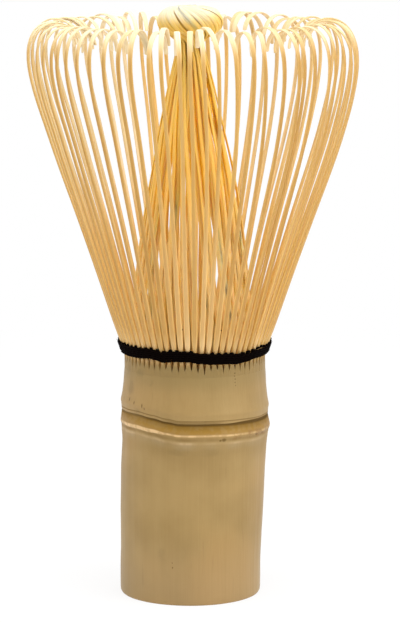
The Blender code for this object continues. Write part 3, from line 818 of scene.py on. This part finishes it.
def outer_lines(rng):
    """Lines of all outer tines: angle, radius and height of the face, and heading, at OUTER_ROWS.

    Each is the heading table integrated from the root, with its own flare, hook and drift. Beyond
    the table's end the heading goes on at its last slope.
    """
    fine = np.linspace(0.0, OUTER_LENGTH, 1400)
    flare = rng.normal(0.0, 0.006, (TINES, 1))
    early = rng.normal(0.0, 0.16, (TINES, 1))
    tight = rng.normal(1.06, 0.06, (TINES, 1))
    past = np.maximum(fine - HOOK_START, 0.0)
    read_at = fine + early * smoothstep(50, 60, fine) + past * (tight - 1)
    (from_row, from_heading), (to_row, to_heading) = OUTER_HEADING[-2:]
    last_slope = np.radians((to_heading - from_heading) / (to_row - from_row))
    heading = np.radians(table(read_at, OUTER_HEADING))
    heading = heading + np.maximum(read_at - OUTER_LENGTH, 0.0) * last_slope
    heading = heading + flare * window(2, 5, 50, 60, fine)
    step = fine[1] - fine[0]
    radius = ROOT_RADIUS + (np.cumsum(np.sin(heading), axis=1) - np.sin(heading)) * step
    height = ROOT_Z + (np.cumsum(np.cos(heading), axis=1) - np.cos(heading)) * step
    slack = rng.normal(0.0, 0.2, (TINES, 1))
    slow = np.convolve(rng.normal(0.0, 0.3, TINES + 4), np.ones(5) / 5, "valid")[:, None]
    first = FRONT_TINE - len(FRONT_DRIFT) // 2
    seen = np.arange(first, first + len(FRONT_DRIFT))
    foreshortened = np.maximum(np.cos((seen - FRONT_TINE) * TINE_ANGLE), 0.4)
    slack[seen % TINES, 0] = np.array(FRONT_DRIFT) / (RIM_RADIUS * TINE_ANGLE * foreshortened)
    slow[seen % TINES] = 0.0
    tip = rng.normal(0.0, 0.45, (TINES, 1))
    bow = rng.normal(0.0, 0.1, (TINES, 1))
    drift = (slack + slow) * smoothstep(4, 66, OUTER_ROWS)
    drift = drift + bow * np.sin(np.pi * OUTER_ROWS / OUTER_LENGTH) ** 2
    drift = drift + tip * smoothstep(62, 77, OUTER_ROWS) * 1.2
    angle = (np.arange(TINES)[:, None] + drift) * TINE_ANGLE
    lines = [angle]
    for values in (radius, height, heading):
        lines.append(np.stack([np.interp(OUTER_ROWS, fine, line) for line in values]))
    return [line[..., None] for line in lines]


def outer_points(rng, angle, radius, height, heading):
    """Points of the outer tines, and each point's share of the half width.

    A point of the section at depth d behind the face is at radius r - d cos h and height z + d sin h
    for the face's (r, z) and heading h, and at the tine's angle plus its distance across over the
    radius. Half the width is the tine's own, or what the slit beside it leaves of the stem.
    """
    s = OUTER_ROWS[:, None]
    place, deep, _ = np.array(OUTER_SECTION).T
    slit = rng.uniform(43.65, 44.35, (TINES, 1, 1))
    slit[::TINES_PER_SEGMENT] -= 0.25
    gap = rng.uniform(0.45, 0.58, (TINES, 1, 1))
    closed = rng.uniform(0.18, 0.42, (TINES, 1, 1))
    width = table(s, OUTER_WIDTH) * np.where(s < 3.4, 1.0, rng.normal(1.0, 0.05, (TINES, 1, 1)))
    halves = []
    for side in (np.arange(TINES) - 1, np.arange(TINES)):
        opened = np.clip((height - slit[side]) / (SLIT_OPEN_Z - slit[side]), 0.0, 1.0)
        opened = gap[side] * opened**0.6
        opened = opened + (closed - gap)[side] * smoothstep(47.9, 49.8, height)
        room = radius * TINE_ANGLE / 2 - opened / 2
        halves.append(np.where(height < OWN_WIDTH_Z, room, np.minimum(room, width / 2)))
    thickness = table(s, OUTER_THICKNESS) * rng.normal(1.0, 0.05, (TINES, 1, 1))
    end = 1.0 - 0.55 * smoothstep(OUTER_LENGTH - 0.13, OUTER_LENGTH, s)
    cut = smoothstep(44.3, 45.6, height)
    share = place * cut + np.clip(place / 0.68, -1.0, 1.0) * (1.0 - cut)
    depth = deep * thickness * end
    depth = np.where(deep < 0.1, depth * cut, depth)
    across = share * np.where(share < 0, halves[0], halves[1]) * end
    skin_wave = skin_radius(angle, height) - table(height, CULM_SKIN)
    face = radius + skin_wave * falling(43.6, 46, height)
    at_height = height + depth * np.sin(heading)
    at_radius = face - depth * np.cos(heading)
    sway = eased_table(at_height, BRUSH_SWAY)
    return polar(at_radius, angle + across / radius, at_height, sway) * MM, share


def outer_values(rng, angle, height, share):
    """Attributes of the outer tines' points, as make_tine_material names them."""
    s = OUTER_ROWS[:, None]
    _, deep, skin_side = np.array(OUTER_SECTION).T
    cosine = np.cos(angle)
    aside = smoothstep(0.25, 0.5, np.abs(cosine))
    to_right = smoothstep(-0.1, 0.7, cosine)
    to_left = smoothstep(-0.1, 0.7, -cosine) * smoothstep(2, 10, s)
    low_front = falling(0.15, 0.4, np.abs(cosine)) * window(3, 8, 20, 34, s)
    # The upper stems show flesh through their skin, far more on the front tines than the side ones, and
    # the low front a little: partly shaved skin, partly painted light on the front.
    bared_and_lit = (0.42 - 0.3 * aside) * smoothstep(20, 42, s) + 0.09 * low_front
    # Painted light: the skin pales a little more on the low front tines, less on the right hooks, and
    # round the thread, where the tongue ends and stem roots are painted pale.
    skin_fade = 0.03 * smoothstep(20, 50, s) + 0.06 * low_front
    skin_fade = skin_fade + (0.94 - 0.3 * to_right - skin_fade) * smoothstep(61.5, 67, s)
    skin_fade = skin_fade + 0.17 * window(44.7, 45.6, 48.6, 50.5, height)
    # Painted light: the cut walls of the side tines, which turn towards the lamps and the camera, are
    # painted paler, less so on the right.
    flesh_fade = (0.06 + 0.9 * aside * (1.0 - 0.5 * to_right)) * smoothstep(20, 42, s)
    flesh_fade = flesh_fade * (0.1 + 0.9 * smoothstep(0.3, 0.85, deep))
    flesh_fade = flesh_fade + (0.95 - 0.25 * to_right - flesh_fade) * smoothstep(60, 67, s)
    # Each tine's own lightness, with painted light and shade by where it stands: lighter on the low
    # front tines, darker to the left and right and along the upper stems.
    tone_and_shade = 0.6 + rng.normal(0.0, 0.3, (TINES, 1, 1)) * (1.0 + 0.6 * low_front)
    tone_and_shade = tone_and_shade + 0.3 * low_front - 0.3 * to_right - 0.3 * to_left
    tone_and_shade = tone_and_shade - 0.5 * window(28, 46, 61, 66, s)
    # Painted highlight: low on the stems the walls' corners lose their skin colour, so the flanks show
    # as pale flesh.
    on_wall = (deep > 0.2) & (skin_side > 0.0)
    cut_wall = (deep > 0.2) & (np.abs(share) > 0.99)
    return {
        "skin": skin_side * (1.0 - on_wall * falling(14, 34, s)) * (1.0 - bared_and_lit),
        "fade_and_light": skin_side * skin_fade + (1.0 - skin_side) * flesh_fade,
        "tone_and_shade": np.clip(tone_and_shade, 0.0, 1.0),
        "root": (deep < 0.1) * falling(44.5, 46.2, height),
        # Painted shade on the cut walls in the slits, fading out above the thread.
        "slit_shade": 0.85 * cut_wall * falling(46, 47.6, height),
        # Painted shade on the skin round the thread's lower turns and just below them.
        "painted_shade": 0.62 * skin_side * window(45.4, 46, 46.5, 47.5, height),
    }


def make_outer_tines(material):
    """68 tines in 17 pieces, each a section carried along its line."""
    rng = np.random.default_rng(21)
    angle, radius, height, heading = outer_lines(rng)
    points, share = outer_points(rng, angle, radius, height, heading)
    values = outer_values(rng, angle, height, share)
    across = 0.25 * np.arange(1, len(OUTER_SECTION) + 1) + 7.0 * np.arange(TINES)[:, None, None]
    uv = strand_uv(across, OUTER_ROWS[:, None], points.shape[:3])
    make_tine_pieces("outer_tines", points, values, uv, material, 42)


# Inner tines


def inner_controls(layer, rng):
    """Points (radius, height) of one inner tine from root to tip.

    Its bell is neck + (root - neck)(1 - share^1.5), with a slow ripple of its own.
    """
    neck = NECK_RADII[layer] * rng.normal(1.0, 0.05)
    shares = np.linspace(0.1, 1.0, 10)
    bell = neck + (BELL_RADIUS - neck) * (1.0 - shares**1.5)
    room = np.sin(np.pi * shares) ** 0.8
    bell = bell + room * (0.1 - 0.35 * layer + rng.normal(0.0, 0.22))
    bell = bell + 0.18 * rng.normal() * np.sin(2 * np.pi * shares)
    heights = BELL_Z + (NECK_Z - BELL_Z) * shares
    bun = np.array(BUN_LINES[layer]) + rng.normal(0.0, 0.03, (len(BUN_LINES[layer]), 2))
    bun[3:8] += np.array([0.8, 0.5]) * rng.normal(0.0, 0.08)
    return np.concatenate([INNER_ROOT, np.stack([bell, heights], axis=1), bun])


def inner_lines(rng):
    """Middle of every inner tine at INNER_ROWS, and the direction outward from its line.

    The angle about the axis falls by run * tan(lean) / radius along the strand, so a strand that
    leans drifts round the whisk as it rises.
    """
    bell_share = np.clip(INNER_ROWS / 12.5, 0.0, 1.0)
    line = np.array([through(inner_controls(layer, rng), INNER_ROWS) for layer in LAYERS])
    radius, height = line[..., 0], line[..., 1]
    in_bun = smoothstep(101.5, 106, np.maximum.accumulate(height, axis=1))
    rising = np.array(LAYER_LEAN)[LAYERS][:, None] + rng.normal(0.0, 1.3, (TINES, 1))
    turning = BUN_LEAN + rng.normal(0.0, 1.0, (TINES, 1))
    lean = np.radians(rising + (turning - rising) * in_bun)
    lean[height < BELL_Z] = 0.0
    drift = np.cumsum(steps(line) * np.tan(lean) / np.maximum(radius, 1.6), axis=1)
    common = np.array([drift[LAYERS == layer].mean(axis=0) for layer in range(3)])[LAYERS]
    drift = common + (drift - common) * (1.0 - 0.88 * in_bun)
    wander = rng.normal(0.0, 0.55, (TINES, 1)) * np.sin(np.pi * bell_share) ** 2
    wander = wander + rng.normal(0.0, 0.3, (TINES, 1)) * np.sin(2 * np.pi * bell_share)
    wander = wander + rng.normal(0.0, 0.26, (TINES, 1)) * in_bun
    angle = (np.arange(TINES)[:, None] + wander) * TINE_ANGLE - drift
    middle = polar(radius, angle, height, eased_table(height, BUNDLE_SWAY))
    slope = unit(np.gradient(line, axis=1))
    return middle, polar(slope[..., 1], angle, -slope[..., 0])


def inner_values(tone_and_shade, middle):
    """Attributes of the inner tines' points, as make_tine_material names them."""
    along = INNER_ROWS[:, None]
    _, deep = np.array(INNER_SECTION).T
    # Painted shade: the covered layers take only 0.3 of the pale tip colour, so they stay darker gold.
    covered = np.where(LAYERS == 0, 1.0, 0.3)[:, None, None]
    # The bun's middle is 0.9 mm to the left of the axis
    round_bun = np.degrees(np.arctan2(middle[..., 1:2], middle[..., 0:1] + 0.9))
    # Painted light: the bun's side towards the right softbox keeps a deeper gold, as if lit through,
    # instead of the pale tip colour.
    lamp_side = np.exp(-(((round_bun + 22) / 26) ** 2)) * falling(18, 19.2, along)
    bun_fade = covered * (1.0 - 0.8 * lamp_side) * smoothstep(16.3, 18.8, along)
    return {
        "skin": deep > 0.3,
        # Painted light: the inner tines' lower parts, shaded by the outer tines, are painted paler.
        "fade_and_light": 0.42 * falling(4.5, 8, along) + bun_fade,
        "tone_and_shade": tone_and_shade + (0.85 - tone_and_shade) * smoothstep(15.5, 18, along),
        "root": 0.0,
        # Painted shade on the roots behind the slits.
        "slit_shade": 0.75 * falling(1.8, 2.9, along),
        # Painted shade where the strands crowd at the neck.
        "painted_shade": 0.16 * window(11.4, 12.8, 14, 16, along),
    }


def make_inner_tines(material):
    """68 strands in 17 pieces: the section is middle + across * u * width / 2 + outward * v * thickness.

    Across is the strand's direction crossed with outward, and both are turned by a twist of its own.
    """
    rng = np.random.default_rng(5)
    middle, outward = inner_lines(rng)
    tangent = unit(np.gradient(middle, axis=1))
    across = unit(np.cross(outward, tangent))
    outward = np.cross(tangent, across)
    wider = 1.0 + 0.3 * (LAYERS > 0)[:, None] * falling(10, 12, INNER_ROWS)
    width = table(INNER_ROWS, INNER_WIDTH) * rng.normal(1.0, 0.08, (TINES, 1)) * wider
    thickness = table(INNER_ROWS, INNER_THICKNESS) * rng.normal(1.0, 0.08, (TINES, 1))
    in_bell = np.sin(np.pi * np.clip(INNER_ROWS / NECK, 0.0, 1.0))
    twist = (rng.normal(0.0, 0.28, (TINES, 1)) * in_bell)[..., None]
    turned_across = across * np.cos(twist) + outward * np.sin(twist)
    turned_outward = outward * np.cos(twist) - across * np.sin(twist)
    place, deep = np.array(INNER_SECTION).T
    points = (
        middle[:, :, None]
        + turned_across[:, :, None] * (place * width[..., None] / 2)[..., None]
        + turned_outward[:, :, None] * (deep * thickness[..., None])[..., None]
    ) * MM
    tone_and_shade = np.clip(rng.normal(0.6, 0.3, (TINES, 1, 1)), 0.0, 1.0)
    walked = np.cumsum(steps(middle), axis=1)[..., None]
    across_uv = 0.22 * np.arange(len(INNER_SECTION)) + 7.0 * np.arange(TINES)[:, None, None]
    uv = strand_uv(across_uv, walked, points.shape[:3])
    values = inner_values(tone_and_shade, middle)
    make_tine_pieces("inner_tines", points, values, uv, material, 50)


# Thread


def twisted_tube(points, radius, columns, ply_length):
    """A two-ply thread along points: radius * (0.8 + 0.24 cos(angle - turns)^2) about its middle.

    The section's two directions are outward from the axis and across that and the thread.
    """
    walked = np.cumsum(steps(points))[:, None]
    tangent = unit(np.gradient(points, axis=0))
    outward = points * np.array([1.0, 1.0, 0.0])
    outward = unit(outward - tangent * np.sum(outward * tangent, axis=1, keepdims=True))
    side = np.cross(tangent, outward)
    around = np.arange(columns) * TURN / columns
    reach = radius * (0.8 + 0.24 * np.cos(around - np.pi * walked / ply_length) ** 2)
    tube = (
        points[:, None]
        + outward[:, None] * (reach * np.cos(around))[..., None]
        + side[:, None] * (reach * np.sin(around))[..., None]
    )
    return tube[None] * MM, strand_uv(around * radius, walked, reach.shape)


def thread_sag(angle):
    """How far the band stands above its level height at this angle."""
    return eased_table(left_of_front(angle), THREAD_SAG)


def binding_line():
    """The outside turns: a spiral on the tines' flare, THREAD_PITCH to the turn, with slow wobble."""
    turns = np.linspace(0.0, THREAD_TURNS + 0.35, THREAD_TURNS * 560 + 1)
    angle = TURN * turns + 3.3
    wobble = 0.03 * np.sin(angle * 7 + 1.0) + 0.02 * np.sin(angle * 13.0 + 2.0)
    height = THREAD_Z + THREAD_PITCH * turns + thread_sag(angle) + wobble * smoothstep(0, 0.4, turns)
    radius = table(height, FLARE) + THREAD_RADIUS * 0.9
    radius = radius + 0.025 * np.cos(TINES * angle) + 0.02 * np.sin(angle * 5.0 + 0.4)
    radius = radius - 0.9 * smoothstep(turns[-1] - 0.03, turns[-1], turns)
    return polar(radius, angle, height)


def laced_line():
    """The laced turn behind the outer tines, which rises in each slit between two of them."""
    angle = np.linspace(0.0, TURN, TINES * 16, endpoint=False)
    angle = np.concatenate([angle, angle[:1] + TURN])
    in_slit = (0.5 - 0.5 * np.cos(TINES * angle)) ** 1.4
    uneven = 0.12 * np.sin(9 * angle) + 0.1 * np.sin(23 * angle + 1.0)
    height = LACED_Z + (0.4 + uneven) * in_slit + thread_sag(angle)
    return polar(LACED_RADIUS + in_slit, angle, height)


def loose_fibres(rng, count):
    """Thin curved hairs of the thread, which rise from its outside and lie back.

    At share t of its length a hair stands length * (0.5t - 0.3t^2) outside the thread.
    """
    angle = rng.uniform(0, TURN, (count, 1))
    height = rng.uniform(45.85, 48.15, (count, 1))
    share = np.linspace(0.0, 1.0, 4)[None, :]
    length = rng.uniform(0.15, 0.5, (count, 1))
    slant = rng.normal(0.0, 0.8, (count, 1))
    radius = table(height, FLARE) + THREAD_RADIUS * 1.7 + length * (0.5 * share - 0.3 * share**2)
    angle = angle + (length * share * np.cos(slant)) / 14.0
    middle = polar(radius, angle, height + length * share * np.sin(slant))
    around = np.arange(3)[:, None] * TURN / 3
    outward = polar(1.0, angle, 0.0)[:, :, None]
    offset = outward * np.cos(around) + np.array([0.0, 0.0, 1.0]) * np.sin(around)
    thin = 0.016 * (1.0 - 0.75 * share)[..., None, None]
    return (middle[:, :, None] + offset * thin) * MM


def make_thread(material):
    """The binding: the outside turns, the laced turn and their loose fibres in one piece."""
    lines = (binding_line(), laced_line())
    strands = [twisted_tube(line, THREAD_RADIUS, 10, PLY_LENGTH) for line in lines]
    hairs = loose_fibres(np.random.default_rng(8), LOOSE_FIBRES)
    strands.append((hairs, hairs[..., :2]))
    faces = []
    start = 0
    for strand, _ in strands:
        faces += [[corner + start for corner in face] for face in strand_faces(strand)]
        start += strand.size // 3
    points = np.concatenate([strand.reshape(-1, 3) for strand, _ in strands])
    uv = np.concatenate([uv.reshape(-1, 2) for _, uv in strands])
    nodes = ["binding_thread"]
    make_piece("thread_binding", points, faces, material, nodes, uv=uv)


def make_knot(material):
    """The knot, a trefoil of thread: ((2 + cos 3t) cos 2t, sin 3t, (2 + cos 3t) sin 2t), flattened."""
    low, high = (np.array(corner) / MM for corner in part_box("thread_knot"))
    centre, size = (low + high) / 2, high - low
    t = np.linspace(0.0, TURN, 220)
    wide = 2.0 + np.cos(3 * t)
    trefoil = np.stack([wide * np.cos(2 * t), np.sin(3 * t), wide * np.sin(2 * t)], axis=1)
    reach = (size / 2 - KNOT_RADIUS * 1.05) / np.array([3.0, 1.0, 3.0])
    tube, uv = twisted_tube(trefoil * reach + centre, KNOT_RADIUS, 8, KNOT_PLY_LENGTH)
    faces = strand_faces(tube)
    make_piece("thread_tie", tube, faces, material, ["thread_knot"], uv=uv)


# Surroundings


def seen_straight(tree):
    """1 for rays of the camera and for those that glass or a shiny face sends on, otherwise 0."""
    rays = add_node(tree, "ShaderNodeLightPath", {}).outputs
    seen = math_node(tree, "MAXIMUM", rays["Is Camera Ray"], rays["Is Glossy Ray"])
    return math_node(tree, "MAXIMUM", seen, rays["Is Transmission Ray"])


def make_floor():
    """A wide pale floor. The camera sees most of it as plain white, and it keeps its shadow."""
    mesh = bpy.data.meshes.new("floor")
    reach = 4.0
    corners = [(-reach, -reach, 0), (reach, -reach, 0), (reach, reach, 0), (-reach, reach, 0)]
    mesh.from_pydata(corners, [], [(0, 1, 2, 3)])
    material, tree = new_material("pale_floor")
    set_surface(tree, {"Base Color": (0.86, 0.86, 0.86, 1), "Roughness": 0.9})
    white = {"Color": (1, 1, 1, 1), "Strength": 1.0}
    glow = add_node(tree, "ShaderNodeEmission", white).outputs[0]
    far = vector_node(tree, "LENGTH", object_place(tree))["Value"]
    share = math_node(tree, "MULTIPLY", seen_straight(tree), ranged(tree, far, 0.08, 0.3, 0.8, 1.0))
    inputs = {0: share, 1: tree.nodes["Principled BSDF"].outputs[0], 2: glow}
    mixed = add_node(tree, "ShaderNodeMixShader", inputs).outputs[0]
    tree.links.new(mixed, tree.nodes["Material Output"].inputs["Surface"])
    mesh.materials.append(material)
    floor = new_object("floor", mesh)


def make_world():
    """White surroundings: plain white to the camera and a softer fill on the whisk."""
    world = bpy.data.worlds.new("white_room")
    bpy.context.scene.world = world
    world.use_nodes = True
    tree = world.node_tree
    strength = math_node(tree, "MULTIPLY_ADD", seen_straight(tree), 0.3, 0.7)
    inputs = {"Color": (1.0, 1.0, 1.0, 1), "Strength": strength}
    set_inputs(tree, tree.nodes["Background"], inputs)


def new_light(name, kind, place, power):
    """A light of this kind, and its data."""
    data = bpy.data.lights.new(name, kind)
    data.energy = power
    lamp = new_object(name, data)
    lamp.location = place
    return lamp, data


def add_softbox(name, place, size, power):
    """A square soft light that faces the middle of the whisk."""
    lamp, data = new_light(name, "AREA", place, power)
    data.size = size
    x, y, z = np.array(place) - np.array([0.0, 0.0, 0.06])
    lamp.rotation_euler = (math.atan2(math.hypot(x, y), z), 0.0, math.atan2(y, x) + math.pi / 2)


def add_bundle_light(name, place, power):
    """A small warm light inside the bundle, for the daylight that soaks through its thin strands."""
    _, data = new_light(name, "POINT", place, power)
    data.shadow_soft_size = 0.0
    data.color = (1.0, 0.84, 0.45)


def make_camera():
    """The photograph's view: from the front, 9.1 degrees down, through a long lens."""
    data = bpy.data.cameras.new("camera")
    camera = new_object("camera", data)
    camera.location = CAMERA_PLACE
    camera.rotation_euler = (math.radians(90.0 - CAMERA_PITCH), 0.0, 0.0)
    data.sensor_width = SENSOR
    data.lens = FOCAL_LENGTH * SENSOR / PHOTO_HEIGHT
    bpy.context.scene.camera = camera


def main():
    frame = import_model()
    fibres = make_fibre_group()
    skin_group = make_skin_group(fibres, make_spot_group())
    skin = make_skin_material(skin_group)
    pith = make_pith_material(fibres)
    outer = make_tine_material(
        "bamboo_outer_tine",
        fibres,
        skin_group,
        skin=(0.555, 0.33, 0.118, 1),
        flesh=(0.88, 0.615, 0.25, 1),
        tip=(0.94, 0.84, 0.65, 1),
        roughness=0.5,
        shine=0.25,
        glow=0.3,
    )
    inner = make_tine_material(
        "bamboo_inner_tine",
        fibres,
        skin_group,
        skin=(0.89, 0.59, 0.17, 1),
        flesh=(0.82, 0.51, 0.06, 1),
        tip=(0.87, 0.76, 0.555, 1),
        roughness=0.6,
        shine=0.08,
        glow=0.8,
    )
    thread = make_thread_material()
    make_culm(skin)
    diaphragm = frame["nodes"]["node_diaphragm"]
    diaphragm.data.materials.clear()
    diaphragm.data.materials.append(pith)
    make_outer_tines(outer)
    make_inner_tines(inner)
    make_thread(thread)
    make_knot(thread)
    make_floor()
    make_world()
    add_softbox("top_softbox", (0.05, -0.1, 0.9), 0.9, 8.0)
    add_softbox("right_softbox", (0.95, -0.5, 0.3), 0.8, 5.5)
    add_softbox("left_softbox", (-0.95, -0.3, 0.3), 0.8, 2.2)
    add_bundle_light("bundle_light_low", (-0.0002, 0.0, 0.056), 0.0014)
    add_bundle_light("bundle_light_mid", (-0.0003, 0.0, 0.077), 0.0008)
    add_bundle_light("bundle_light_top", (-0.0004, 0.0, 0.091), 0.0004)
    make_camera()
    bpy.context.scene.view_settings.view_transform = "Standard"


main()
